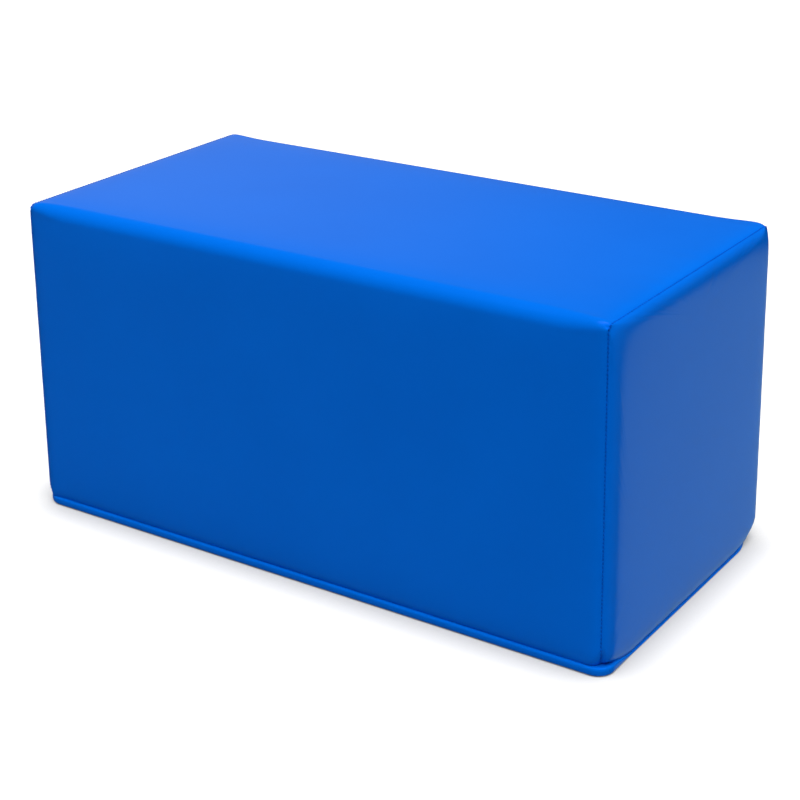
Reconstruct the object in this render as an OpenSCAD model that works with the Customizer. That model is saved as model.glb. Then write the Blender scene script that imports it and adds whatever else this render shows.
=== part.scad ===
// Soft foam block in a sewn cover of coated fabric.
// One strip covers front, top and back. Two end panels and a base panel close it.
// Origin: centre of the underside. X runs along the block, the front faces -Y.

/* [Block] */
// Length of the block, from end face to end face
block_length = 600; // [300:10:1200]
// Depth of the block, from front to back
block_depth = 300; // [200:10:600]
// Height of the block
block_height = 300; // [150:10:600]

/* [Cover sheet] */
// Thickness of the coated fabric
sheet = 0.8; // [0.5:0.1:1.2]
// Outside radius of the two long top edges, which have no seam
bend_radius = 15; // [12:1:30]
// Width of fabric turned in behind each seam
allowance = 10; // [6:1:14]

/* [End seams] */
// How far the end seams lie inside the end faces
seam_pull = 6.5; // [2.5:0.5:7]
// How far the top, front and back drop towards the end seams
seam_drop = 4.5; // [2.5:0.5:6]
// Width over which an end panel rolls over to its seam
end_roll = 18; // [12:1:40]
// Width over which the strip rolls over to the same seam
strip_roll = 16; // [9:1:24]

/* [Base rim] */
// Radius of the rolled rim that the base panel turns up
rim_radius = 4.6; // [4:0.1:7]
// Depth of the groove between that rim and the walls
groove_depth = 2.5; // [1.5:0.1:3.5]
// Height over which front and back curve in to the groove
hem_height = 12; // [8:1:20]
// Radius of the base panel's corners, seen from above
base_corner = 15; // [12:1:30]
// How far the raised rim runs on along each end
rim_run = 50; // [30:1:70]
// Height of the base panel's edge along the middle of each end
low_edge = 1.5; // [1.2:0.1:3]

/* [Thread] */
// Thickness of the sewing thread's line in a seam
thread_d = 0.7; // [0.4:0.1:0.8]
// Room round the thread in its groove
thread_gap = 0.05; // [0.02:0.01:0.1]
// Radius with which the thread turns at the upper corners
thread_turn = 3; // [2:0.5:5]

/* [Hidden] */
$fn = 48;
half_x = block_length / 2;
half_y = block_depth / 2;
top_z = block_height;
// Height at which the rim's round meets the groove
seam_z = rim_radius + sqrt(pow(rim_radius, 2) - pow(rim_radius - groove_depth, 2));
// Plane, outline and depth of the end seams
seam_x = half_x - seam_pull;
seam_y = half_y - seam_drop;
seam_top = top_z - seam_drop;
// Places where the turned-in fabric stops
inner_y = seam_y - allowance;
inner_top = seam_top - allowance;
inner_groove = half_y - groove_depth - allowance;
// Radius of a round that is tangent at its start and falls by drop over run
function round_over(run, drop) = (pow(run, 2) + pow(drop, 2)) / (2 * drop);
hem_radius = round_over(hem_height, groove_depth);
strip_radius = round_over(strip_roll, seam_drop);
end_radius = round_over(end_roll, seam_pull);
// Segments in one round
steps = 10;
margin = 1;
cover_blue = "#0061d1";
thread_blue = "#0a4fa8";
foam_cream = "#e8dfc8";

// Points of a round about centre c, from angle a to angle b
function arc(c, r, a, b) = [for (i = [0:steps]) let (t = a + (b - a) * i / steps)
    [c[0] + r * cos(t), c[1] + r * sin(t)]];

module along_x(length) rotate([90, 0, 90]) linear_extrude(length, center = true) children();
module along_y(length) rotate([90, 0, 0]) linear_extrude(length, center = true) children();
module both_ends() {
    children();
    mirror([1, 0, 0]) children();
}

// Section across the block, with bends above and hems that curve in to the groove below
module strip_section(inset) {
    hem = hem_radius - inset;
    lean = asin(hem_height / hem);
    bend = bend_radius - inset;
    polygon(concat(
        arc([half_y - hem_radius, seam_z + hem_height], hem, -lean, 0),
        arc([half_y - bend_radius, top_z - bend_radius], bend, 0, 90),
        arc([bend_radius - half_y, top_z - bend_radius], bend, 90, 180),
        arc([hem_radius - half_y, seam_z + hem_height], hem, 180, 180 + lean)));
}

// Outline along the block, seen from the front, with the drop towards the end seams
module strip_side(inset) {
    r = strip_radius - inset;
    x = seam_x - strip_roll;
    polygon(concat(
        arc([x, top_z - strip_radius], r, 0, 90),
        arc([-x, top_z - strip_radius], r, 90, 180),
        [[-x - r, -margin], [x + r, -margin]]));
}

// The same drop, seen from above, at front and back
module strip_plan(inset) {
    r = strip_radius - inset;
    x = seam_x - strip_roll;
    y = half_y - strip_radius;
    polygon(concat(arc([x, y], r, 0, 90), arc([-x, y], r, 90, 180),
        arc([-x, -y], r, 180, 270), arc([x, -y], r, 270, 360)));
}

// Space inside the strip, all the way out for inset 0
module strip_body(inset, reach) intersection() {
    along_x(2 * reach) strip_section(inset);
    along_y(block_depth) strip_side(inset);
    linear_extrude(top_z + margin) strip_plan(inset);
}

// Section across the block at its ends, down to the floor
module end_section(inset) {
    bend = bend_radius - inset;
    polygon(concat(
        [[half_y - inset, inset]],
        arc([half_y - bend_radius, top_z - bend_radius], bend, 0, 90),
        arc([bend_radius - half_y, top_z - bend_radius], bend, 90, 180),
        [[inset - half_y, inset]]));
}

// Right end seen from the front: roll to the seam above, small round at the floor
module end_side(inset) {
    r = end_radius - inset;
    lean = acos(1 - (seam_pull + 2 * margin) / end_radius);
    far = seam_x - 2 * margin;
    rim = rim_radius - inset;
    polygon(concat(
        [[far, inset]],
        arc([half_x - rim_radius, rim_radius], rim, -90, 0),
        arc([half_x - end_radius, seam_top - end_roll], r, 0, lean),
        [[far, seam_top + margin]]));
}

// Right end seen from above, with the roll to the upright seams
module end_plan(inset) {
    r = end_radius - inset;
    lean = acos(1 - (seam_pull + 2 * margin) / end_radius);
    far = seam_x - 2 * margin;
    y = seam_y - end_roll;
    polygon(concat(
        [[far, -seam_y - margin]],
        arc([half_x - end_radius, -y], r, -lean, 0),
        arc([half_x - end_radius, y], r, 0, lean),
        [[far, seam_y + margin]]));
}

module end_body(inset, from_x) intersection() {
    translate([from_x, -half_y, 0]) cube([half_x, block_depth, top_z]);
    along_x(2 * block_length) end_section(inset);
    along_y(block_depth) end_side(inset);
    linear_extrude(top_z + margin) end_plan(inset);
}

// Round-edged tray with the plan of the base panel
module tray(inset) {
    rim = rim_radius - inset;
    module edge(half) polygon(concat(
        arc([half - rim_radius, rim_radius], rim, -90, 90),
        arc([rim_radius - half, rim_radius], rim, 90, 270)));
    along_x(block_length - 2 * base_corner) edge(half_y);
    along_y(block_depth - 2 * base_corner) edge(half_x);
    for (sx = [-1, 1], sy = [-1, 1])
        translate([sx * (half_x - base_corner), sy * (half_y - base_corner), 0])
            rotate_extrude() polygon(concat(
                [[0, inset]],
                arc([base_corner - rim_radius, rim_radius], rim, -90, 90),
                [[0, 2 * rim_radius - inset]]));
}

// Everything below the upper edge of the base panel
module below_base_seam() along_x(block_length + 2 * margin) polygon([
    [-half_y - margin, -margin], [-half_y - margin, seam_z], [-inner_groove, seam_z],
    [rim_run - half_y, low_edge], [half_y - rim_run, low_edge],
    [inner_groove, seam_z], [half_y + margin, seam_z], [half_y + margin, -margin]]);

// Fabric turned in along an end seam, as a frame open at the foot
module end_allowance(from_x) difference() {
    translate([from_x, -seam_y, seam_z]) cube([sheet, 2 * seam_y, seam_top - seam_z]);
    translate([from_x - margin, -inner_y, 0]) cube([sheet + 2 * margin, 2 * inner_y, inner_top]);
}

// Path of the line of stitches round one end seam
module thread_path(d) {
    y = seam_y - thread_turn;
    z = seam_top - thread_turn;
    for (s = [-1, 1]) {
        translate([seam_x, s * seam_y, z]) rotate([180, 0, 0]) cylinder(d = d, h = z - seam_z);
        translate([seam_x, s * y, z]) rotate([90, 0, 90]) rotate([0, 0, 45 - 45 * s])
            rotate_extrude(angle = 90) translate([thread_turn, 0]) circle(d = d);
        translate([seam_x, 0, seam_top]) rotate([-90 * s, 0, 0]) cylinder(d = d, h = y);
    }
}

// Path of the stitches in the groove above the rim, along the back
module rim_thread(d) translate([0, half_y - groove_depth, seam_z])
    rotate([0, 90, 0]) cylinder(d = d, h = 2 * (seam_x - thread_d), center = true);

// Room for the thread in the panels
module thread_room() {
    both_ends() thread_path(thread_d + 2 * thread_gap);
    for (turn = [0, 180]) rotate([0, 0, turn]) rim_thread(thread_d + 2 * thread_gap);
}

module foam_core() color(foam_cream) difference() {
    union() {
        strip_body(sheet, seam_x - sheet);
        both_ends() end_plug();
        tray(sheet);
        translate([sheet - seam_x, -inner_groove, rim_radius])
            cube([2 * (seam_x - sheet), 2 * inner_groove, 2 * rim_radius]);
    }
    // slits for the fabric turned in at the groove, front and back
    for (s = [-1, 1]) translate([-half_x, s > 0 ? inner_groove : -half_y, seam_z - sheet])
        cube([block_length, half_y - inner_groove, 2 * sheet]);
}

// Foam that fills an end panel, inside the frame of turned-in fabric
module end_plug() difference() {
    intersection() {
        end_body(sheet, seam_x - sheet - margin);
        translate([0, -inner_y, 0]) cube([block_length, 2 * inner_y, inner_top]);
    }
    below_base_seam();
}

module front_top_back_strip() color(cover_blue) difference() {
    intersection() {
        strip_body(0, seam_x);
        union() {
            difference() {
                strip_body(0, seam_x);
                strip_body(sheet, seam_x + margin);
            }
            both_ends() end_allowance(seam_x - sheet);
            for (s = [-1, 1]) translate([-seam_x, s > 0 ? inner_groove : -half_y, seam_z])
                cube([2 * seam_x, half_y - inner_groove, sheet]);
        }
    }
    thread_room();
}

module right_end_panel() color(cover_blue) difference() {
    intersection() {
        end_body(0, seam_x);
        union() {
            difference() {
                end_body(0, seam_x);
                end_body(sheet, seam_x - margin);
            }
            end_allowance(seam_x);
        }
    }
    below_base_seam();
    thread_room();
}

module left_end_panel() mirror([1, 0, 0]) right_end_panel();

module base_panel() color(cover_blue) difference() {
    intersection() {
        tray(0);
        below_base_seam();
        union() {
            difference() {
                tray(0);
                tray(sheet);
                translate([rim_radius - half_x, rim_radius - half_y, sheet])
                    cube([block_length - 2 * rim_radius, block_depth - 2 * rim_radius, top_z]);
            }
            for (s = [-1, 1]) translate([-half_x, s > 0 ? inner_groove : -half_y, seam_z - sheet])
                cube([block_length, half_y - inner_groove, sheet]);
        }
    }
    thread_room();
}

module right_seam_thread() color(thread_blue) thread_path(thread_d);
module left_seam_thread() mirror([1, 0, 0]) right_seam_thread();
module back_seam_thread() color(thread_blue) rim_thread(thread_d);
module front_seam_thread() rotate([0, 0, 180]) back_seam_thread();

foam_core();
front_top_back_strip();
right_end_panel();
left_end_panel();
base_panel();
right_seam_thread();
left_seam_thread();
front_seam_thread();
back_seam_thread();
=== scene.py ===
# Foam block in a sewn cover of glossy coated fabric.
# X runs along the block, the front faces -Y and Z is up. Shapes are worked out in millimetres.
import math
import bpy
import numpy as np
from mathutils import Matrix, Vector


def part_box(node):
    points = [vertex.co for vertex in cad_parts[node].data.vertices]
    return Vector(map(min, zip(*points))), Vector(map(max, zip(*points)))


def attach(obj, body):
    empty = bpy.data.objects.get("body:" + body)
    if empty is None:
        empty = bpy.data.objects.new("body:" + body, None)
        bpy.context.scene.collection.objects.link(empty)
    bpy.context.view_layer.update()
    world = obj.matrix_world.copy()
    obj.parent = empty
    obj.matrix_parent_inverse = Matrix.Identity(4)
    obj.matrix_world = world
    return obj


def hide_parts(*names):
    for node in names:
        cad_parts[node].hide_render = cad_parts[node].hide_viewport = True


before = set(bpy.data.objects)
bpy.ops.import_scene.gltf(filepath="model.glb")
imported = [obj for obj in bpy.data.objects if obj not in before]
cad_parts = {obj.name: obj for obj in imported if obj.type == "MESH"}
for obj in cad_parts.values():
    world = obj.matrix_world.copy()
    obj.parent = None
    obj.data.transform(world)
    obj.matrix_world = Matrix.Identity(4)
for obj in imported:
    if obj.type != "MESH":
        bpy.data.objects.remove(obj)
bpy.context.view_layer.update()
print("frame loaded")

mm = 0.001


def boxInMm(node):
    low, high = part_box(node)
    return [value / mm for value in low], [value / mm for value in high]


# Sizes that every piece shares, taken from the solids
stripLow, stripHigh = boxInMm("front_top_back_strip")
endLow, endHigh = boxInMm("right_end_panel")
frontSag = 1.2  # how far the front sags over the top of the base rim
block = {
    "halfLength": endHigh[0],
    "halfDepth": stripHigh[1],
    "height": stripHigh[2],
    "seamX": stripHigh[0],  # plane of the end seams
    "seamInset": stripHigh[1] - endHigh[1],  # depth of the end seams below the faces
    "rimTop": stripLow[2] - frontSag,  # height of the groove above the base rim
    "lowEdge": endLow[2],  # lower edge of an end panel, halfway along the end
    "bend": 15.0,  # radius of the two long top edges
    "bendAtSeam": 9.0,  # the same where an end seam crosses them
    "crown": 1.2,  # how far the faces swell between their edges
    "stitch": 3.5,  # length of one stitch
    "rimRun": 54.0,  # distance from the front at which the rim has sunk along an end
    "rimFull": 12.5,  # distance from the front up to which it keeps its full height
    "groove": 2.2,  # depth of the groove above the rim
    "tuck": 8.0,  # fabric turned in behind a seam
    "tuckRings": 3,  # rows of points in the tuck
    "noseRings": 6,  # rows of points round the turn into a seam
    "sheet": 0.8,  # thickness of the coated fabric
    # Plan radii of the upright corners at the groove, from the back right one anticlockwise. The
    # closing seam draws the back ones in further.
    "foot": (30.0, 30.0, 12.0, 22.0),
    "footHeight": 34.0,  # height over which the corners grow sharp again
    "pinch": 1.0,  # how deep the cover is drawn in where a seam goes over a top corner
    "pinchLong": 3.2,  # width of that place along the seam
    "pinchWide": 2.6,  # and away from it
    "dimpleReach": 1.6,  # width of the dimples that the stitches leave beside a seam
    "settle": 0.01,  # how much wider the block stands at its foot, as a share
}


def gridQuads(rows, columns, closed=False):
    # Quads between neighbouring rows and columns, the last column joined to the first if closed
    row = np.arange(rows - 1)[:, None]
    column = np.arange(columns if closed else columns - 1)[None, :]
    beside = (column + 1) % columns
    corners = [row * columns + column, row * columns + beside,
               (row + 1) * columns + beside, (row + 1) * columns + column]
    return np.stack(corners, axis=-1).reshape(-1, 4)


def poleTriangles(firstIndex, columns, pole):
    # Triangles from one closed ring to a single point
    column = np.arange(columns)
    return np.stack([firstIndex + column, firstIndex + (column + 1) % columns,
                     np.full(columns, pole)], axis=-1)


def makePiece(name, points, faces, material, uv=None, flip=False, settles=True):
    # A mesh object at the origin from points in millimetres, smooth, with a UV pair for each point.
    # X and Y = point * (1 + settle * share of the height below the top), as soft foam settles.
    lists = [face[::-1] if flip else face for group in faces for face in group.tolist()]
    places = np.array(points, dtype=float).reshape(-1, 3)
    if settles:
        places[:, :2] *= 1 + block["settle"] * (1 - places[:, 2:] / block["height"])
    mesh = bpy.data.meshes.new(name)
    mesh.from_pydata((places * mm).tolist(), [], lists)
    mesh.polygons.foreach_set("use_smooth", np.ones(len(mesh.polygons), dtype=bool))
    if uv is not None:
        corner = np.empty(len(mesh.loops), dtype=np.int32)
        mesh.loops.foreach_get("vertex_index", corner)
        layer = mesh.uv_layers.new(name="seam")
        layer.data.foreach_set("uv", np.asarray(uv).reshape(-1, 2)[corner].astype(np.float32).ravel())
    mesh.materials.append(material)
    mesh.update()
    piece = bpy.data.objects.new(name, mesh)
    bpy.context.scene.collection.objects.link(piece)
    return piece


def thicken(piece, thickness):
    # The sheet's own thickness, all of it on the inner side
    wall = piece.modifiers.new("sheet thickness", "SOLIDIFY")
    wall.thickness = thickness * mm
    wall.offset = -1.0
    wall.use_even_offset = False


def waves(place, seed, longest, shortest, count):
    # Sum of sine waves along a length, with lengths from longest to shortest and seeded phases
    draw = np.random.default_rng(seed)
    lengths = np.geomspace(longest, shortest, count)
    phases = draw.uniform(0, 2 * math.pi, count)
    weights = draw.uniform(0.5, 1.0, count)
    angles = np.multiply.outer(np.asarray(place, dtype=float), 2 * math.pi / lengths) + phases
    return (np.sin(angles) * weights).sum(axis=-1) / weights.sum()


def smoothStep(value):
    t = np.clip(value, 0.0, 1.0)
    return t * t * (3 - 2 * t)


def roundFoot(points):
    # Upright corners that grow round towards the groove. In a square at each corner, whose side is
    # the radius at that height, squares round the square's inner point become circles.
    x, y, z = (points[..., k] for k in range(3))
    above = np.clip((z - block["rimTop"]) / block["footHeight"], 0, 1)
    backRight, backLeft, frontLeft, frontRight = block["foot"]
    radius = np.where(y > 0, np.where(x > 0, backRight, backLeft), np.where(x > 0, frontRight, frontLeft))
    radius = radius * (1 - above) ** 2
    fromX = np.abs(x) - (block["halfLength"] - radius)
    fromY = np.abs(y) - (block["halfDepth"] - radius)
    inside = (fromX > 0) & (fromY > 0)
    scale = np.where(inside, np.maximum(fromX, fromY) / np.maximum(np.hypot(fromX, fromY), 1e-6), 1.0)
    moved = points.copy()
    moved[..., 0] = np.where(inside, np.sign(x) * (block["halfLength"] - radius + fromX * scale), x)
    moved[..., 1] = np.where(inside, np.sign(y) * (block["halfDepth"] - radius + fromY * scale), y)
    return moved


# Fabric that rolls over to a seam

def rollToSeam(steps, tilt, power, fall, nose, finish, tuck):
    # Fabric leaves the flat face, tilts by tilt * exp(-(e / reach) ** power) at distance e from the
    # seam, goes round a small nose and is tucked in. Returns the place outwards, 0 at the furthest
    # point, and the fall below the face, from the flat side to the tuck's end.
    # The two long arrays are fine steps for the sums.
    spread = np.linspace(0.0, 8.0, 1601)
    unit = np.sin(tilt * np.exp(-spread ** power))
    noseFall = nose * (math.cos(tilt) - math.cos(finish))
    reach = (fall - noseFall) / (((unit[1:] + unit[:-1]) / 2).sum() * (spread[1] - spread[0]))
    dense = np.linspace(0.0, max(steps), 4001)
    angle = tilt * np.exp(-(dense / reach) ** power)
    step = dense[1] - dense[0]
    along = np.concatenate([[0], np.cumsum((np.cos(angle[1:]) + np.cos(angle[:-1])) / 2 * step)])
    drop = np.concatenate([[0], np.cumsum((np.sin(angle[1:]) + np.sin(angle[:-1])) / 2 * step)])
    far = np.array(sorted(steps, reverse=True))
    outFlat = -np.interp(far, dense, along)
    fallFlat = (fall - noseFall) - np.interp(far, dense, drop)
    turn = np.linspace(tilt, finish, block["noseRings"] + 1)[1:]
    outNose = nose * (np.sin(turn) - math.sin(tilt))
    fallNose = (fall - noseFall) + nose * (math.cos(tilt) - np.cos(turn))
    rest = np.linspace(0, tuck, block["tuckRings"] + 1)[1:]
    outTuck = outNose[-1] + rest * math.cos(finish)
    fallTuck = fallNose[-1] + rest * math.sin(finish)
    out = np.concatenate([outFlat, outNose, outTuck]) - nose * (1 - math.sin(tilt))
    return out, np.concatenate([fallFlat, fallNose, fallTuck])


# Swelling of the covered faces, from a cloth simulation

pillow = {
    "cell": 9.0,  # size of the cloth's squares
    "pressure": 4.0,
    "frames": 20,
    "gain": 3.2,  # how soon the swelling reaches its full height
    "quickReach": 22.0,  # width of the rise beside the edges in the quick formula
}


def pillowField(width, height):
    # A flat cloth held along its four edges is blown up by the foam's pressure. Its height over
    # the flat sheet, divided by the greatest, goes through tanh(gain * height), so that it rises
    # beside the edges and is level in the middle. Returns the grid's two axes and the values.
    columns = int(round(width / pillow["cell"]))
    rows = int(round(height / pillow["cell"]))
    u = np.linspace(-width / 2, width / 2, columns + 1)
    v = np.linspace(-height / 2, height / 2, rows + 1)
    scene = bpy.context.scene
    across, up = np.meshgrid(u, v)
    flat = np.stack([across, up, np.zeros_like(across)], axis=-1).reshape(-1, 3)
    mesh = bpy.data.meshes.new("cloth")
    mesh.from_pydata((flat * mm).tolist(), [], gridQuads(rows + 1, columns + 1).tolist())
    cloth = bpy.data.objects.new("cloth", mesh)
    scene.collection.objects.link(cloth)
    onEdge = np.ones((rows + 1, columns + 1), dtype=bool)
    onEdge[1:-1, 1:-1] = False
    held = cloth.vertex_groups.new(name="held")
    held.add(np.flatnonzero(onEdge.ravel()).tolist(), 1.0, "REPLACE")
    blown = cloth.modifiers.new("foam pressure", "CLOTH")
    blown.settings.vertex_group_mass = "held"
    blown.settings.use_pressure = True
    blown.settings.uniform_pressure_force = pillow["pressure"]
    blown.settings.effector_weights.gravity = 0
    blown.settings.quality = 5
    blown.point_cache.frame_start = 1
    blown.point_cache.frame_end = pillow["frames"]
    for moment in range(1, pillow["frames"] + 1):
        scene.frame_set(moment)
    ready = cloth.evaluated_get(bpy.context.evaluated_depsgraph_get())
    places = np.empty(flat.size)
    ready.data.vertices.foreach_get("co", places)
    lift = np.abs(places.reshape(-1, 3)[:, 2]).reshape(rows + 1, columns + 1)
    bpy.data.objects.remove(cloth)
    bpy.data.meshes.remove(mesh)
    scene.frame_set(1)
    return u, v, np.tanh(pillow["gain"] * lift / lift.max()) / math.tanh(pillow["gain"])


def readField(field, u, v):
    # Bilinear reading of a field at any places, held at its edge values outside
    axisU, axisV, values = field
    fu = np.interp(u, axisU, np.arange(axisU.size))
    fv = np.interp(v, axisV, np.arange(axisV.size))
    iu = np.minimum(fu.astype(int), axisU.size - 2)
    iv = np.minimum(fv.astype(int), axisV.size - 2)
    du, dv = fu - iu, fv - iv
    return (values[iv, iu] * (1 - du) * (1 - dv) + values[iv, iu + 1] * du * (1 - dv)
            + values[iv + 1, iu] * (1 - du) * dv + values[iv + 1, iu + 1] * du * dv)


topField = pillowField(2 * block["seamX"], 2 * (block["halfDepth"] - block["bend"]))
frontField = pillowField(2 * block["seamX"], block["height"] - block["bend"] - block["rimTop"])
endField = pillowField(2 * (block["halfDepth"] - block["seamInset"]),
                       block["height"] - block["seamInset"] - block["lowEdge"])
print("faces blown up by the foam")


# Materials

def hexToLinear(text):
    # sRGB hex value to a linear colour with alpha 1
    values = [int(text[i:i + 2], 16) / 255 for i in (1, 3, 5)]
    return [v / 12.92 if v <= 0.04045 else ((v + 0.055) / 1.055) ** 2.4 for v in values] + [1.0]


def addNode(tree, kind, settings={}, values={}, links={}):
    # One node with its settings, its fixed inputs and its links
    node = tree.nodes.new(kind)
    for name, value in settings.items():
        setattr(node, name, value)
    for name, value in values.items():
        node.inputs[name].default_value = value
    for name, source in links.items():
        tree.links.new(source, node.inputs[name])
    return node


def newMaterial(name):
    material = bpy.data.materials.new(name)
    material.use_nodes = True
    material.node_tree.nodes.clear()
    return material, material.node_tree


coatedFabric = {
    "blue": "#0068d8",
    "deepBlue": "#0062cf",
    "cloudScale": 9.0,  # faint change of the blue, in clouds of about a tenth of a metre
    "ior": 1.5,
    "level": 0.25,
    "tint": "#003cff",
    "roughness": (0.17, 0.21),
    "wearScale": 35.0,  # change of the gloss, in patches of about 3 cm
    "grain": 0.9,  # mm, fine leather grain, drawn a little coarser than the real one
    "grainDepth": 0.05,  # mm
}


def coatedFabricMaterial():
    # Knitted fabric with a calendered vinyl coat, called artificial leather. The coat is an even,
    # saturated blue with a soft gloss, and a fine pressed grain breaks up its highlights.
    material, tree = newMaterial("artificialLeather")
    place = addNode(tree, "ShaderNodeTexCoord")
    cloudy = addNode(tree, "ShaderNodeTexNoise",
                     values={"Scale": coatedFabric["cloudScale"], "Detail": 3.0},
                     links={"Vector": place.outputs["Object"]})
    colour = addNode(tree, "ShaderNodeMix", settings={"data_type": "RGBA"},
                     links={"Factor": cloudy.outputs["Fac"]})
    colour.inputs[6].default_value = hexToLinear(coatedFabric["deepBlue"])
    colour.inputs[7].default_value = hexToLinear(coatedFabric["blue"])
    worn = addNode(tree, "ShaderNodeTexNoise",
                   values={"Scale": coatedFabric["wearScale"], "Detail": 4.0},
                   links={"Vector": place.outputs["Object"]})
    smoothest, roughest = coatedFabric["roughness"]
    sheen = addNode(tree, "ShaderNodeMapRange", values={"To Min": smoothest, "To Max": roughest},
                    links={"Value": worn.outputs["Fac"]})
    grain = addNode(tree, "ShaderNodeTexVoronoi", settings={"feature": "SMOOTH_F1"},
                    values={"Scale": 1 / (coatedFabric["grain"] * mm), "Smoothness": 0.6},
                    links={"Vector": place.outputs["Object"]})
    bump = addNode(tree, "ShaderNodeBump",
                   values={"Strength": 0.05, "Distance": coatedFabric["grainDepth"] * mm},
                   links={"Height": grain.outputs["Distance"]})
    shader = addNode(tree, "ShaderNodeBsdfPrincipled",
                     values={"IOR": coatedFabric["ior"], "Specular IOR Level": coatedFabric["level"],
                             "Specular Tint": hexToLinear(coatedFabric["tint"])},
                     links={"Base Color": colour.outputs[2], "Roughness": sheen.outputs["Result"],
                            "Normal": bump.outputs["Normal"]})
    addNode(tree, "ShaderNodeOutputMaterial", links={"Surface": shader.outputs["BSDF"]})
    return material


sewingThread = {
    # darker than the coat: partly the thread's own blue, partly painted shade of the seam crevice
    "blue": "#004db8",
    "roughness": 0.6,
    "level": 0.08,
    "twistScale": 600.0,  # turns of the twist, under a millimetre each
    "twistDepth": 0.1,  # mm
}


def threadMaterial():
    # Bonded polyester sewing thread, twisted and nearly matte. Its blue is darker than the coat's: partly
    # the thread's own colour and partly painted shade of the seam's crevice.
    material, tree = newMaterial("bondedPolyesterThread")
    place = addNode(tree, "ShaderNodeTexCoord")
    twist = addNode(tree, "ShaderNodeTexWave",
                    values={"Scale": sewingThread["twistScale"], "Distortion": 1.0},
                    links={"Vector": place.outputs["Object"]})
    bump = addNode(tree, "ShaderNodeBump",
                   values={"Strength": 0.3, "Distance": sewingThread["twistDepth"] * mm},
                   links={"Height": twist.outputs["Fac"]})
    shader = addNode(tree, "ShaderNodeBsdfPrincipled",
                     values={"Base Color": hexToLinear(sewingThread["blue"]),
                             "Roughness": sewingThread["roughness"],
                             "Specular IOR Level": sewingThread["level"],
                             "Specular Tint": hexToLinear(coatedFabric["tint"])},
                     links={"Normal": bump.outputs["Normal"]})
    addNode(tree, "ShaderNodeOutputMaterial", links={"Surface": shader.outputs["BSDF"]})
    return material


openFoam = {
    "hollow": "#d8cba8",
    "wall": "#efe6cd",
    "roughness": 0.95,
    "cellScale": 900.0,  # cells of about a millimetre
    "cellDepth": 0.4,  # mm
}


def foamMaterial():
    # Open-celled polyurethane foam, cream and matte
    material, tree = newMaterial("polyurethaneFoam")
    place = addNode(tree, "ShaderNodeTexCoord")
    cells = addNode(tree, "ShaderNodeTexVoronoi", values={"Scale": openFoam["cellScale"]},
                    links={"Vector": place.outputs["Object"]})
    colour = addNode(tree, "ShaderNodeMix", settings={"data_type": "RGBA"},
                     links={"Factor": cells.outputs["Distance"]})
    colour.inputs[6].default_value = hexToLinear(openFoam["hollow"])
    colour.inputs[7].default_value = hexToLinear(openFoam["wall"])
    bump = addNode(tree, "ShaderNodeBump",
                   values={"Strength": 0.6, "Distance": openFoam["cellDepth"] * mm},
                   links={"Height": cells.outputs["Distance"]})
    shader = addNode(tree, "ShaderNodeBsdfPrincipled", values={"Roughness": openFoam["roughness"]},
                     links={"Base Color": colour.outputs[2], "Normal": bump.outputs["Normal"]})
    addNode(tree, "ShaderNodeOutputMaterial", links={"Surface": shader.outputs["BSDF"]})
    return material


coverMaterial = coatedFabricMaterial()
stitchMaterial = threadMaterial()
coreMaterial = foamMaterial()
print("materials made")


# Strip over front, top and back

strip = {
    "tilt": math.radians(31),  # tilt of the fabric where it reaches an end seam
    "power": 1.3,
    "nose": 1.0,  # radius of the turn into the seam
    "hemTilt": math.radians(24),  # tilt of the fabric where it reaches the rim
    "hemPower": 1.1,
    "hemNose": 0.9,
    "hemHeld": 0.6,  # share by which an end seam holds the hem out
    "hemHeldReach": 9.0,
    "seamInset": 4.6,  # depth of the seam below the faces
    "sharpReach": 26.0,  # length beside an end seam over which the bend is sharper
    "pucker": 0.22,
    "puckerWaves": (11, 62, 17, 6),  # seed, longest and shortest wave, and how many
    "puckerReach": 16.0,
    "lowWaves": (23, 70, 20, 5),  # the same for the puckers above the groove
    "lowReach": 18.0,
    "otherEnd": 500.0,  # each seam reads another stretch of the same waves
    "otherSide": 900.0,
    "plain": 1.5,  # width beside a seam that has no puckers
    "dimple": 0.2,
    "spacing": block["stitch"] / 2,  # distance between rows of points along a seam
    "middle": 14,  # columns of points away from the ends
    # Distances from the end seam, and from the groove, at which there are points
    "steps": [0, 0.5, 1.1, 1.9, 2.9, 4.2, 5.8, 7.8, 10.2, 13, 16.5, 20.5, 25, 30, 36, 43, 51],
    "hemSteps": [0, 0.8, 1.8, 3.2, 5, 7, 9.5, 12.5, 16, 20, 25],
}


def stripLengthwise():
    # Places along X from the left tuck to the right tuck, and the fall towards the two ends
    out, fall = rollToSeam(strip["steps"], strip["tilt"], strip["power"],
                           strip["seamInset"] - block["crown"],
                           strip["nose"], math.pi / 2, block["tuck"])
    right = block["seamX"] + out
    middle = np.linspace(-right[0], right[0], strip["middle"] + 2)[1:-1]
    x = np.concatenate([-right[::-1], middle, right])
    return x, np.concatenate([fall[::-1], np.zeros(middle.size), fall])


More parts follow.
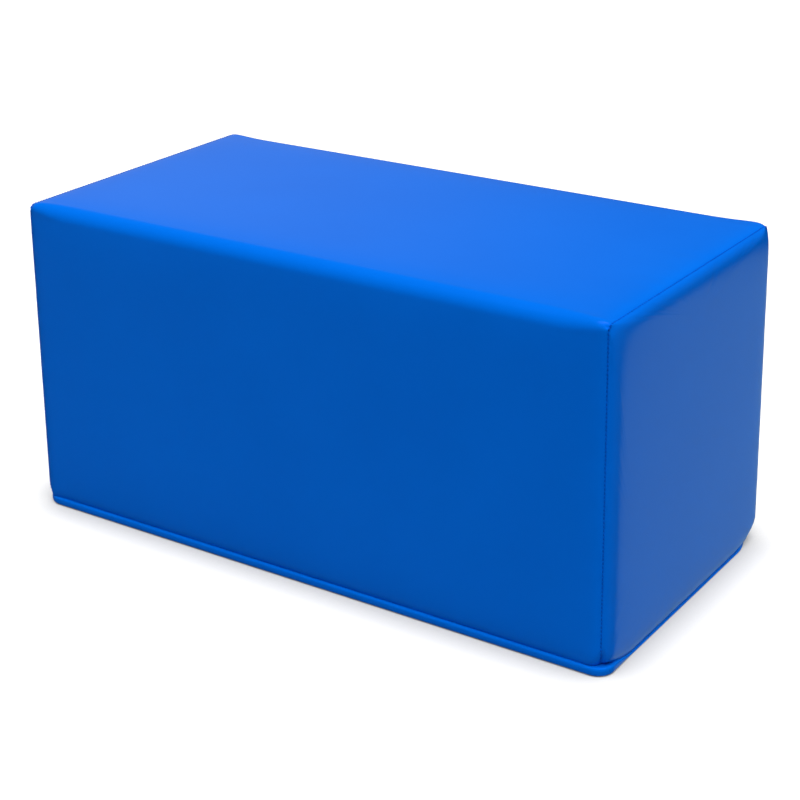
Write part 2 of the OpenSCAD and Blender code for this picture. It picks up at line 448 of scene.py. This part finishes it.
def stripSection(bend):
    # Section from the front groove's tuck up, over the top and down to the back groove's tuck,
    # with the same columns for any bend. Each has a place, an outward direction and a hem inset.
    out, fall = rollToSeam(strip["hemSteps"], strip["hemTilt"], strip["hemPower"], block["groove"],
                           strip["hemNose"], math.pi / 2, block["tuck"])
    hemZ, hemInset = block["rimTop"] - out[::-1], fall[::-1]
    bendZ = block["height"] - bend
    bendY = block["halfDepth"] - bend
    count = int(round((block["height"] - block["bend"] - hemZ[-1]) / strip["spacing"]))
    wallZ = np.linspace(hemZ[-1], bendZ, count + 1)[1:]
    bendCount = int(round(block["bend"] * math.pi / 2 / strip["spacing"]))
    turn = np.linspace(0, math.pi / 2, bendCount + 1)[1:]
    half = int(round((block["halfDepth"] - block["bend"]) / strip["spacing"]))
    topY = np.linspace(-bendY, 0, half + 1)[1:]
    y = np.concatenate([np.full(hemZ.size + wallZ.size, -block["halfDepth"]),
                        -bendY - bend * np.cos(turn), topY])
    z = np.concatenate([hemZ, wallZ, bendZ + bend * np.sin(turn),
                        np.full(topY.size, block["height"])])
    outY = np.concatenate([np.full(hemZ.size + wallZ.size, -1.0), -np.cos(turn), np.zeros(topY.size)])
    outZ = np.concatenate([np.zeros(hemZ.size + wallZ.size), np.sin(turn), np.ones(topY.size)])
    inset = np.concatenate([hemInset, np.zeros(y.size - hemZ.size)])
    mirrored = slice(-2, None, -1)
    return (np.concatenate([y, -y[mirrored]]), np.concatenate([z, z[mirrored]]),
            np.concatenate([outY, -outY[mirrored]]), np.concatenate([outZ, outZ[mirrored]]),
            np.concatenate([inset, inset[mirrored]]))


def seamDimples(run, toSeam):
    # cos(2 pi run / stitch) * exp(-distance from the seam / reach)
    return np.cos(2 * math.pi * run[None, :] / block["stitch"]) * np.exp(-toSeam / block["dimpleReach"])


def cornerPinch(run, corners, toSeam):
    # pinch * exp(-(distance along the seam / long) ** 2 - (distance from the seam / wide) ** 2)
    away = np.abs(run[:, None] - corners).min(axis=1)[None, :]
    return block["pinch"] * np.exp(-(away / block["pinchLong"]) ** 2 - (toSeam / block["pinchWide"]) ** 2)


def stripCover():
    # Place = section point - direction * inset, where inset = crown * (1 - swelling) + fall and hem
    # together + puckers + dimples + pinch
    x, fall = stripLengthwise()
    y, z, outY, outZ, hem = stripSection(block["bend"])
    sharpY, sharpZ = stripSection(block["bendAtSeam"])[:2]
    run = np.concatenate([[0], np.cumsum(np.hypot(np.diff(y), np.diff(z)))])
    sharp = np.exp(-(np.maximum(block["seamX"] - np.abs(x), 0) / strip["sharpReach"]) ** 2)[:, None]
    gridX = np.broadcast_to(x[:, None], (x.size, y.size))
    gridY = y + (sharpY - y) * sharp
    gridZ = z + (sharpZ - z) * sharp
    onTop = (outZ > 0.999)[None, :]
    onWall = (outZ < 0.001)[None, :]
    wallMiddle = (block["height"] - block["bend"] + block["rimTop"]) / 2
    swelling = np.where(onTop, readField(topField, gridX, gridY),
                        np.where(onWall, readField(frontField, gridX, gridZ - wallMiddle), 0.0))
    toSeam = np.maximum(block["seamX"] - np.abs(gridX), 0)
    endRun = run[None, :] + np.where(gridX > 0, 0.0, strip["otherEnd"])
    pull = strip["pucker"] * waves(endRun, *strip["puckerWaves"])
    pull = pull * np.exp(-toSeam / strip["puckerReach"]) * smoothStep(toSeam / strip["plain"])
    toGroove = np.maximum(gridZ - block["rimTop"], 0)
    sideRun = x[:, None] + np.where(gridY > 0, strip["otherSide"], 0.0)
    low = strip["pucker"] * waves(sideRun, *strip["lowWaves"])
    pull = pull + low * np.exp(-toGroove / strip["lowReach"]) * smoothStep(toGroove / strip["plain"])
    dimple = strip["dimple"] * seamDimples(run, toSeam)
    # The middle of a bend is where its direction rises by 0.7
    corners = run[[np.argmin(np.abs(outZ - 0.7) + (side * outY < 0)) for side in (-1, 1)]]
    held = strip["hemHeld"] * np.exp(-(toSeam / strip["hemHeldReach"]) ** 2)
    drop = np.hypot(fall[:, None], hem[None, :] * (1 - held))
    inset = block["crown"] * (1 - swelling) + drop + pull + dimple + cornerPinch(run, corners, toSeam)
    points = roundFoot(np.stack([gridX, gridY - inset * outY, gridZ - inset * outZ], axis=-1))
    uv = np.stack([np.broadcast_to(run[None, :], gridX.shape), toSeam], axis=-1) * mm
    faces = [gridQuads(*gridX.shape)]
    piece = makePiece("frontTopBackStrip", points, faces, coverMaterial, uv, flip=True)
    thicken(piece, block["sheet"])
    return piece


stripPiece = stripCover()
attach(stripPiece, "root")
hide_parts("front_top_back_strip")
print("strip sewn")


# End panels

end = {
    "tilt": math.radians(57),  # tilt of the fabric where it reaches its seam
    "power": 1.5,
    "nose": 0.5,  # radius of the turn into the seam
    "outlineInset": 4.0,  # inset of the outline's furthest point
    "lowPull": 0.36,  # share of the pull that is left along the floor
    "lowPullHeight": 16.0,  # height over which it grows back
    "lowPullSide": 22.0,  # distance from the upright seams over which it weakens to that share
    "edgeHeight": 22.0,  # height over which the rim's rise pushes the rings up
    "lowCorner": 1.5,  # radius of the lower corners
    "lowerGrowth": 0.5,  # how fast the lower corners grow rounder towards the middle
    "upperGrowth": 3.0,  # how fast the upper corners grow rounder towards the middle
    "footInset": 0.7,  # how far the foot of its upright edges is drawn in with the strip's hem
    "footHeight": 9.0,
    "footStart": 90.0,  # distance from the middle at which that begins
    "footRun": 50.0,
    "crown": 0.7,
    "pucker": 0.2,
    "puckerWaves": (37, 60, 16, 6),  # seed, longest and shortest wave, and how many
    "otherEnd": 700.0,
    "puckerReach": 14.0,
    "plain": 2.0,  # width beside the seam that has no puckers
    "dimple": 0.2,
    "steps": [0, 0.5, 1.1, 1.9, 2.9, 4.2, 5.8, 7.8, 10.2, 13, 16.5, 20.5, 25, 30, 36, 43, 51],
    "inner": 12,  # rings in the flat middle
    "turn": 6,  # columns in one rounded corner
    "most": 0.9,  # largest corner radius, as a share of a ring's half height
}


def roundedRing(halfWide, halfHigh, radii, cells, turn):
    # Closed outlines of rounded rectangles, one row for each size. Columns run along the right
    # side, round its far corner, and so on. The radii start with that corner and go round the
    # same way, and each side has as many cells as given.
    signs = [(1, -1), (1, 1), (-1, 1), (-1, -1)]
    radii = [radius[:, None] for radius in radii]
    halves = halfWide[:, None], halfHigh[:, None]
    found = [], []
    for index in range(4):
        angle = index * math.pi / 2
        share = (np.arange(cells[index % 2]) / cells[index % 2])[None, :]
        bow = (angle + np.arange(turn) / turn * math.pi / 2)[None, :]
        before, after = radii[index - 1], radii[index]
        for axis, wave in enumerate((np.cos, np.sin)):
            first = signs[index][axis] * (halves[axis] - before) + before * wave(angle)
            centre = signs[(index + 1) % 4][axis] * (halves[axis] - after)
            last = centre + after * wave(angle)
            found[axis].extend([first * (1 - share) + last * share, centre + after * wave(bow)])
    return np.hstack(found[0]), np.hstack(found[1])


def edgeHeight(y):
    # Height of the base panel's upper edge on an end: the rim's at front and back, falling to the
    # low edge over the rim's run
    away = (np.abs(y) - (block["halfDepth"] - block["rimRun"])) / (block["rimRun"] - block["rimFull"])
    return block["lowEdge"] + (block["rimTop"] - block["lowEdge"]) * smoothStep(away)


def endCover(side):
    # Rings of a rounded rectangle from the middle of the face to the seam and on into the tuck.
    # X of a ring = face - crown * (1 - swelling) - fall, with less fall along the floor.
    out, fall = rollToSeam(end["steps"], end["tilt"], end["power"],
                           block["halfLength"] - block["seamX"] - end["crown"],
                           end["nose"], math.pi, block["tuck"])
    halfWide = block["halfDepth"] - end["outlineInset"]
    low, high = block["lowEdge"], block["height"] - end["outlineInset"]
    halfHigh = (high - low) / 2
    shrink = np.linspace(0, 1, end["inner"] + 1)[1:-1]
    firstWide, firstHigh = halfWide + out[0], halfHigh + out[0]
    ringWide = np.concatenate([firstWide * shrink, halfWide + out])
    ringHigh = np.concatenate([firstHigh * shrink, halfHigh + out])
    ringFall = np.concatenate([np.zeros(shrink.size), fall])
    depth = np.concatenate([out[0] * shrink, out])
    upper = block["bendAtSeam"] - end["outlineInset"] - depth * end["upperGrowth"]
    lower = end["lowCorner"] - depth * end["lowerGrowth"]
    upper, lower = (np.minimum(radius, ringHigh * end["most"]) for radius in (upper, lower))
    cells = [int(round(2 * halfHigh / strip["spacing"])), int(round(2 * halfWide / strip["spacing"]))]
    y, z = roundedRing(ringWide, ringHigh, [upper, upper, lower, lower], cells, end["turn"])
    seamRing = -1 - block["tuckRings"]
    run = np.concatenate([[0], np.cumsum(np.hypot(np.diff(y[seamRing]), np.diff(z[seamRing])))])
    z = z + (low + high) / 2
    z = z + (edgeHeight(y) - low) * np.exp(-(np.maximum(z - low, 0) / end["edgeHeight"]) ** 2)
    nearFloor = np.exp(-(np.maximum(z - edgeHeight(y), 0) / end["lowPullHeight"]) ** 2)
    nearFloor = nearFloor * smoothStep((halfWide - np.abs(y)) / end["lowPullSide"])
    weaker = 1 - (1 - end["lowPull"]) * nearFloor
    drawnIn = end["footInset"] * np.exp(-(np.maximum(z - block["rimTop"], 0) / end["footHeight"]) ** 2)
    y = y - np.sign(y) * drawnIn * smoothStep((np.abs(y) - end["footStart"]) / end["footRun"])
    toSeam = np.concatenate([halfWide - ringWide[:shrink.size], np.maximum(-out, 0)])[:, None]
    swelling = readField(endField, y, z - (low + high) / 2)
    seamRun = run[None, :] + (0 if side > 0 else end["otherEnd"])
    pull = end["pucker"] * waves(seamRun, *end["puckerWaves"])
    pull = pull * np.exp(-toSeam / end["puckerReach"]) * smoothStep(toSeam / end["plain"])
    dimple = end["dimple"] * seamDimples(run, toSeam)
    halfTurn = end["turn"] // 2
    corners = run[[cells[0] + halfTurn, cells[0] + end["turn"] + cells[1] + halfTurn]]
    x = (block["halfLength"] - end["crown"] * (1 - swelling) - ringFall[:, None] * weaker
         - pull - dimple - cornerPinch(run, corners, toSeam))
    points = roundFoot(np.stack([side * x, y, z], axis=-1)).reshape(-1, 3)
    middle = points[:y.shape[1]].mean(axis=0)
    points = np.vstack([points, middle])
    uv = np.stack([np.broadcast_to(run[None, :], y.shape), np.broadcast_to(toSeam, y.shape)], axis=-1)
    uv = np.vstack([uv.reshape(-1, 2), [[0, halfWide]]]) * mm
    name = "rightEndPanel" if side > 0 else "leftEndPanel"
    columns = y.shape[1]
    faces = [gridQuads(*y.shape, closed=True), poleTriangles(0, columns, len(points) - 1)[:, ::-1]]
    piece = makePiece(name, points, faces, coverMaterial, uv, flip=side > 0)
    thicken(piece, block["sheet"])
    return piece


for side, node in ((1, "right_end_panel"), (-1, "left_end_panel")):
    panel = endCover(side)
    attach(panel, "root")
    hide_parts(node)
print("end panels sewn")


# Base panel with its rolled rim

base = {
    "rim": block["rimTop"] / 2,
    "square": 0.62,  # power of the bead's sine and cosine, where 1 is a round and less is squarer
    # Plan radii from the back right one anticlockwise. The back ones are set in, which leaves small
    # pockets at the ends of the closing seam.
    "corners": (46.0, 46.0, 20.0, 15.0),
    "endInset": 1.2,  # how far the low edge lies inside the end faces
    "endZone": 60.0,  # length at each end in which the rim may sink
    "spacing": 3.0,
    "tuckRings": 4,  # rings turned in behind the groove
    "tuckStart": 0.6,  # distance of the first of them from the bead
    "bead": 19,  # rings over the bead
    "inner": 8,  # rings below the block
    "turn": 12,  # columns in one rounded corner
}


def basePanel():
    # A rounded rectangle's rings: tucked in at the groove, over the bead, and in below the block.
    # The bead's section is (cos ** square, sin ** square) * rim. Heights are scaled to the edge's
    # height at each place along the outline.
    rim = base["rim"]
    angles = np.linspace(math.pi / 2, -math.pi / 2, base["bead"])
    beadOut = rim * (np.abs(np.cos(angles)) ** base["square"] - 1)
    beadZ = rim * (1 + np.sign(np.sin(angles)) * np.abs(np.sin(angles)) ** base["square"])
    first = base["tuckRings"]
    tuckOut = beadOut[0] - np.linspace(block["tuck"], base["tuckStart"], first)
    shrink = np.linspace(1, 0, base["inner"] + 1)[1:-1]
    out = np.concatenate([tuckOut, beadOut])
    height = np.concatenate([np.full(first, beadZ[0]), beadZ])
    halfWide = block["halfLength"] + out
    halfHigh = block["halfDepth"] + out
    ringWide = np.concatenate([halfWide, halfWide[-1] * shrink])
    ringHigh = np.concatenate([halfHigh, halfHigh[-1] * shrink])
    radii = [np.concatenate([corner + out, (corner + out[-1]) * shrink]) for corner in base["corners"]]
    height = np.concatenate([height, np.zeros(shrink.size)])
    cells = [int(round(2 * block["halfDepth"] / base["spacing"])),
             int(round(2 * block["halfLength"] / base["spacing"]))]
    x, y = roundedRing(ringWide, ringHigh, radii, cells, base["turn"])
    endStart = block["halfLength"] - base["endZone"]
    share = np.where(np.abs(x[first]) > endStart, edgeHeight(y[first]) / block["rimTop"], 1.0)[None, :]
    drawn = (1 - share) * base["endInset"] * np.sign(x) * (np.abs(x) > endStart)
    z = height[:, None] * share
    points = np.stack([x - drawn, y, z], axis=-1).reshape(-1, 3)
    points = np.vstack([points, [[0, 0, 0]]])
    rows, columns = x.shape
    faces = [gridQuads(rows, columns, closed=True)[:, ::-1],
             poleTriangles((rows - 1) * columns, columns, len(points) - 1)[:, ::-1]]
    piece = makePiece("basePanel", points, faces, coverMaterial)
    thicken(piece, block["sheet"])
    return piece


basePiece = basePanel()
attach(basePiece, "root")
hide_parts("base_panel")
print("base panel sewn")


# Stitches

thread = {
    "radius": 0.8,
    "dip": 1.25,  # how far the thread sinks between stitches
    "sides": 6,
    "rings": 6,  # rings in one stitch
    "proud": 0.5,  # how far an end seam's thread lies above the seam's bottom
    "start": 1.0,  # height above the groove at which it begins
    "rise": 40,  # points along an upright seam
    "turn": 12,  # points round an upper corner
}


def threadAlong(name, path, inward, node):
    # A tube along a path. At each stitch the path sinks inwards by dip * (1 - |sin|), so that the
    # thread shows as a row of short bars.
    path = roundFoot(path)
    length = np.concatenate([[0], np.cumsum(np.linalg.norm(np.diff(path, axis=0), axis=1))])
    count = int(round(length[-1] / block["stitch"]))
    place = np.linspace(0, length[-1], count * thread["rings"] + 1)
    phase = place / (length[-1] / count) * math.pi
    centre = np.stack([np.interp(place, length, path[:, k]) for k in range(3)], axis=-1)
    sink = np.stack([np.interp(place, length, inward[:, k]) for k in range(3)], axis=-1)
    sink = sink / np.linalg.norm(sink, axis=1, keepdims=True)
    centre = centre + sink * (thread["dip"] * (1 - np.abs(np.sin(phase))))[:, None]
    ahead = np.gradient(centre, axis=0)
    ahead = ahead / np.linalg.norm(ahead, axis=1, keepdims=True)
    across = np.cross(ahead, sink)
    across = across / np.linalg.norm(across, axis=1, keepdims=True)
    upward = np.cross(across, ahead)
    angle = np.arange(thread["sides"]) / thread["sides"] * 2 * math.pi
    ring = (np.cos(angle)[None, :, None] * across[:, None, :]
            + np.sin(angle)[None, :, None] * upward[:, None, :])
    points = (centre[:, None, :] + ring * thread["radius"]).reshape(-1, 3)
    points = np.vstack([points, centre[0], centre[-1]])
    rows, columns = place.size, thread["sides"]
    faces = [gridQuads(rows, columns, closed=True),
             poleTriangles(0, columns, len(points) - 2)[:, ::-1],
             poleTriangles((rows - 1) * columns, columns, len(points) - 1)]
    piece = makePiece(name, points, faces, stitchMaterial)
    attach(piece, "root")
    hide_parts(node)
    return piece


def endSeamPath(side):
    # Up the front corner, along the top and down the back corner, in the plane of the end seam
    inset = strip["seamInset"] - thread["proud"]
    y, z = block["halfDepth"] - inset, block["height"] - inset
    radius = block["bendAtSeam"] - inset
    turn = np.linspace(0, math.pi / 2, thread["turn"])
    front = np.stack([-(y - radius) - radius * np.cos(turn), z - radius + radius * np.sin(turn)], axis=-1)
    back = front[::-1] * [-1, 1]
    rise = np.linspace(block["rimTop"] + thread["start"], z - radius, thread["rise"])[:-1, None]
    low = np.hstack([np.full_like(rise, -y), rise])
    flat = np.vstack([low, front, back, low[::-1] * [-1, 1]])
    straight = np.tile([1.0, 0.0], (len(low), 1))
    inwardFlat = np.vstack([straight, np.stack([np.cos(turn), -np.sin(turn)], axis=-1),
                            np.stack([-np.cos(turn[::-1]), -np.sin(turn[::-1])], axis=-1), -straight])
    fixed = np.full((len(flat), 1), side * block["seamX"])
    return np.hstack([fixed, flat]), np.hstack([np.zeros((len(flat), 1)), inwardFlat])


def grooveSeamPath(side):
    # Straight along the groove, between the rounded corners
    y = side * (block["halfDepth"] - block["groove"] - block["crown"])
    x = block["seamX"] - max(block["foot"])
    path = np.array([[-x, y, block["rimTop"]], [x, y, block["rimTop"]]], dtype=float)
    return path, np.array([[0, -side, 0], [0, -side, 0]], dtype=float)


threadAlong("rightSeamStitches", *endSeamPath(1), "right_seam_thread")
threadAlong("leftSeamStitches", *endSeamPath(-1), "left_seam_thread")
threadAlong("frontGrooveStitches", *grooveSeamPath(-1), "front_seam_thread")
threadAlong("backGrooveStitches", *grooveSeamPath(1), "back_seam_thread")
print("stitches laid")


# Foam core

foam = {
    "inset": 7.0,  # distance from the block's faces
    "corner": 14.0,
    "cells": (34, 17, 17),
    "round": 6,  # points across each rounded edge
    "weld": 0.01,  # points closer than this become one
}


def foamCore():
    # A rounded box: each point of a cube's surface goes to the nearest point of a smaller box
    # and out from it by the corner radius
    size = np.array([block["halfLength"], block["halfDepth"], block["height"] / 2]) - foam["inset"]
    inner = size - foam["corner"]
    sheets, faces, start = [], [], 0
    for axis in range(3):
        others = [k for k in range(3) if k != axis]
        grids = [np.concatenate([np.linspace(-size[k], -inner[k], foam["round"])[:-1],
                                 np.linspace(-inner[k], inner[k], foam["cells"][k] + 1),
                                 np.linspace(inner[k], size[k], foam["round"])[1:]]) for k in others]
        a, b = np.meshgrid(*grids, indexing="ij")
        for sign in (-1, 1):
            cube = np.empty(a.shape + (3,))
            cube[..., axis] = sign * size[axis]
            cube[..., others[0]], cube[..., others[1]] = a, b
            core = np.clip(cube, -inner, inner)
            away = cube - core
            away = away / np.linalg.norm(away, axis=-1, keepdims=True)
            sheets.append((core + away * foam["corner"]).reshape(-1, 3))
            quads = gridQuads(*a.shape) + start
            faces.append(quads if (sign > 0) == (axis == 1) else quads[:, ::-1])
            start += a.size
    points = np.vstack(sheets) + [0, 0, block["height"] / 2]
    piece = makePiece("foamCore", points, faces, coreMaterial)
    weld = piece.modifiers.new("close the edges", "WELD")
    weld.merge_threshold = foam["weld"] * mm
    return piece


foamPiece = foamCore()
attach(foamPiece, "root")
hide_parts("foam_core")
print("foam core made")


# Floor, light and camera

studio = {
    "floorRadius": 14.0,  # m
    "floorSides": 96,
    "floorDrop": 0.2,  # mm below the block
    "floor": (0.46, 0.46, 0.46, 1),  # colour that lights the block from below
    "shownFloor": (0.35, 0.35, 0.35, 1),  # colour that the camera sees under the white glow
    "glow": 0.75,
    "contact": 0.042,  # reach in metres of the painted contact shade beside the block
    "contactPower": 1.4,  # more makes the painted shade darker right beside the block
}


def studioFloor():
    # Large pale disc just under the block. Its diffuse part keeps the block's shadow. To the camera it
    # also glows white, and that glow is dimmed by ambient occlusion, which paints a contact shade beside
    # the block.
    # Its reflection in the soft gloss is drawn by the sky's lower half.
    sides = studio["floorSides"]
    angle = np.linspace(0, 2 * math.pi, sides + 1)[:-1]
    points = np.stack([np.cos(angle), np.sin(angle), np.zeros_like(angle)], axis=-1)
    points = points * studio["floorRadius"] / mm
    points[:, 2] = -studio["floorDrop"]
    material, tree = newMaterial("pale studio floor")
    rays = addNode(tree, "ShaderNodeLightPath")
    seen = addNode(tree, "ShaderNodeMath", settings={"operation": "MAXIMUM"},
                   links={0: rays.outputs["Is Camera Ray"], 1: rays.outputs["Is Glossy Ray"]})
    seen = addNode(tree, "ShaderNodeMath", settings={"operation": "MAXIMUM"},
                   links={0: seen.outputs[0], 1: rays.outputs["Is Transmission Ray"]})
    # Painted contact shade: the camera's white glow is dimmed by ambient occlusion near the block
    paintedContactShade = addNode(tree, "ShaderNodeAmbientOcclusion", settings={"samples": 8},
                        values={"Distance": studio["contact"]})
    darker = addNode(tree, "ShaderNodeMath", settings={"operation": "POWER"},
                     links={0: paintedContactShade.outputs["AO"]})
    darker.inputs[1].default_value = studio["contactPower"]
    shade = addNode(tree, "ShaderNodeMath", settings={"operation": "MULTIPLY"},
                    links={0: darker.outputs[0]})
    shade.inputs[1].default_value = studio["glow"]
    glow = addNode(tree, "ShaderNodeEmission", links={"Strength": shade.outputs[0]})
    shown = addNode(tree, "ShaderNodeBsdfDiffuse", values={"Color": studio["shownFloor"]})
    both = addNode(tree, "ShaderNodeAddShader", links={0: shown.outputs[0], 1: glow.outputs[0]})
    plain = addNode(tree, "ShaderNodeBsdfDiffuse", values={"Color": studio["floor"]})
    surface = addNode(tree, "ShaderNodeMixShader",
                      links={0: seen.outputs[0], 1: plain.outputs[0], 2: both.outputs[0]})
    addNode(tree, "ShaderNodeOutputMaterial", links={"Surface": surface.outputs[0]})
    floor = makePiece("studioFloor", points, [np.arange(sides)[None, :]], material, settles=False)
    floor.visible_glossy = False


# Each light lies towards an azimuth, clockwise from the back, and an elevation. The other pairs are
# where it starts and where it is full, as cosines of the angle from that direction.
sky = {
    "room": 0.05,
    "horizon": (-0.02, 0.02),  # from straight up
    "lamp": 5.9,  # wide soft lamp overhead, a little to the front right
    "lampTowards": (136, 78),
    "lampEdge": (0.80, 0.93),
    "window": 0.25,  # at the left rear
    "windowTowards": (-55, 8),
    "windowEdge": (0.84, 0.99),
    "table": 0.42,  # lit table behind, below the horizon
    "tableColour": (0.95, 1.45, 1.45, 1),
    "tableTowards": (-58.5, 0),  # square to the table's right edge
    "tableEdge": (-0.03, 0.03),
    "tableFar": (0.25, 0.31),  # from straight down
    "tableSide": (0.1, 0.4),  # from straight back
}


def studioSky():
    # Soft light as a function of direction: a dim room with a wide lamp and a window, and a lit
    # table below the horizon. The camera sees white.
    world = bpy.data.worlds.new("studio")
    world.use_nodes = True
    tree = world.node_tree
    tree.nodes.clear()
    place = addNode(tree, "ShaderNodeTexCoord")

    def towards(azimuth, elevation):
        a, e = math.radians(azimuth), math.radians(elevation)
        return (math.sin(a) * math.cos(e), math.cos(a) * math.cos(e), math.sin(e))

    def band(direction, start, finish, level):
        # Rises smoothly from 0 to level while the direction's share of the ray goes start to finish
        share = addNode(tree, "ShaderNodeVectorMath", settings={"operation": "DOT_PRODUCT"},
                        links={0: place.outputs["Generated"]})
        share.inputs[1].default_value = direction
        step = addNode(tree, "ShaderNodeMapRange", settings={"interpolation_type": "SMOOTHSTEP"},
                       values={"From Min": start, "From Max": finish, "To Max": level},
                       links={"Value": share.outputs["Value"]})
        return step.outputs["Result"]

    def combine(operation, first, second):
        node = addNode(tree, "ShaderNodeMath", settings={"operation": operation},
                       links={0: first, 1: second})
        return node.outputs[0]

    up, down, behind = (0, 0, 1), (0, 0, -1), (0, 1, 0)
    lamp = band(towards(*sky["lampTowards"]), *sky["lampEdge"], sky["lamp"])
    level = combine("ADD", band(up, *sky["horizon"], sky["room"]), lamp)
    window = band(towards(*sky["windowTowards"]), *sky["windowEdge"], sky["window"])
    window = combine("MULTIPLY", window, band(up, *sky["horizon"], 1))
    level = combine("ADD", level, window)
    table = band(towards(*sky["tableTowards"]), *sky["tableEdge"], sky["table"])
    table = combine("MULTIPLY", table, band(down, *sky["tableFar"], 1))
    table = combine("MULTIPLY", table, band(behind, *sky["tableSide"], 1))
    room = addNode(tree, "ShaderNodeBackground", values={"Color": (1, 1, 1, 1)}, links={"Strength": level})
    below = addNode(tree, "ShaderNodeBackground", values={"Color": sky["tableColour"]},
                    links={"Strength": table})
    both = addNode(tree, "ShaderNodeAddShader", links={0: room.outputs[0], 1: below.outputs[0]})
    rays = addNode(tree, "ShaderNodeLightPath")
    seen = combine("MAXIMUM", rays.outputs["Is Camera Ray"], rays.outputs["Is Transmission Ray"])
    white = addNode(tree, "ShaderNodeBackground", values={"Color": (1, 1, 1, 1), "Strength": 1.0})
    surface = addNode(tree, "ShaderNodeMixShader",
                      links={0: seen, 1: both.outputs[0], 2: white.outputs[0]})
    addNode(tree, "ShaderNodeOutputWorld", links={"Surface": surface.outputs[0]})
    bpy.context.scene.world = world


view = {
    "azimuth": math.radians(33.926),
    "elevation": math.radians(20.395),
    "roll": math.radians(-0.652),
    "distance": 1.6829,
    "target": (-0.00182, 0.01714, 0.19099),
    "focal": 1848.2 / 800,  # focal length as a share of the picture's width
    "centre": 320 / 800,  # height of the optical axis in the picture, from its top
}


def portraitCamera():
    # The camera's axes from its azimuth, elevation and roll, at its distance from the target
    a, e, r = view["azimuth"], view["elevation"], view["roll"]
    back = np.array([math.sin(a) * math.cos(e), -math.cos(a) * math.cos(e), math.sin(e)])
    side = np.array([math.cos(a), math.sin(a), 0.0])
    up = np.cross(back, side)
    right = math.cos(r) * side + math.sin(r) * up
    top = -math.sin(r) * side + math.cos(r) * up
    data = bpy.data.cameras.new("portrait")
    data.sensor_width = 36
    data.lens = view["focal"] * data.sensor_width
    data.shift_y = view["centre"] - 0.5
    data.clip_end = 60
    camera = bpy.data.objects.new("portrait", data)
    place = np.array(view["target"]) + back * view["distance"]
    rows = [[right[k], top[k], back[k], place[k]] for k in range(3)]
    camera.matrix_world = Matrix(rows + [[0, 0, 0, 1]])
    bpy.context.scene.collection.objects.link(camera)
    bpy.context.scene.camera = camera


studioFloor()
studioSky()
portraitCamera()
bpy.context.scene.view_settings.view_transform = "Standard"
print("studio set up")
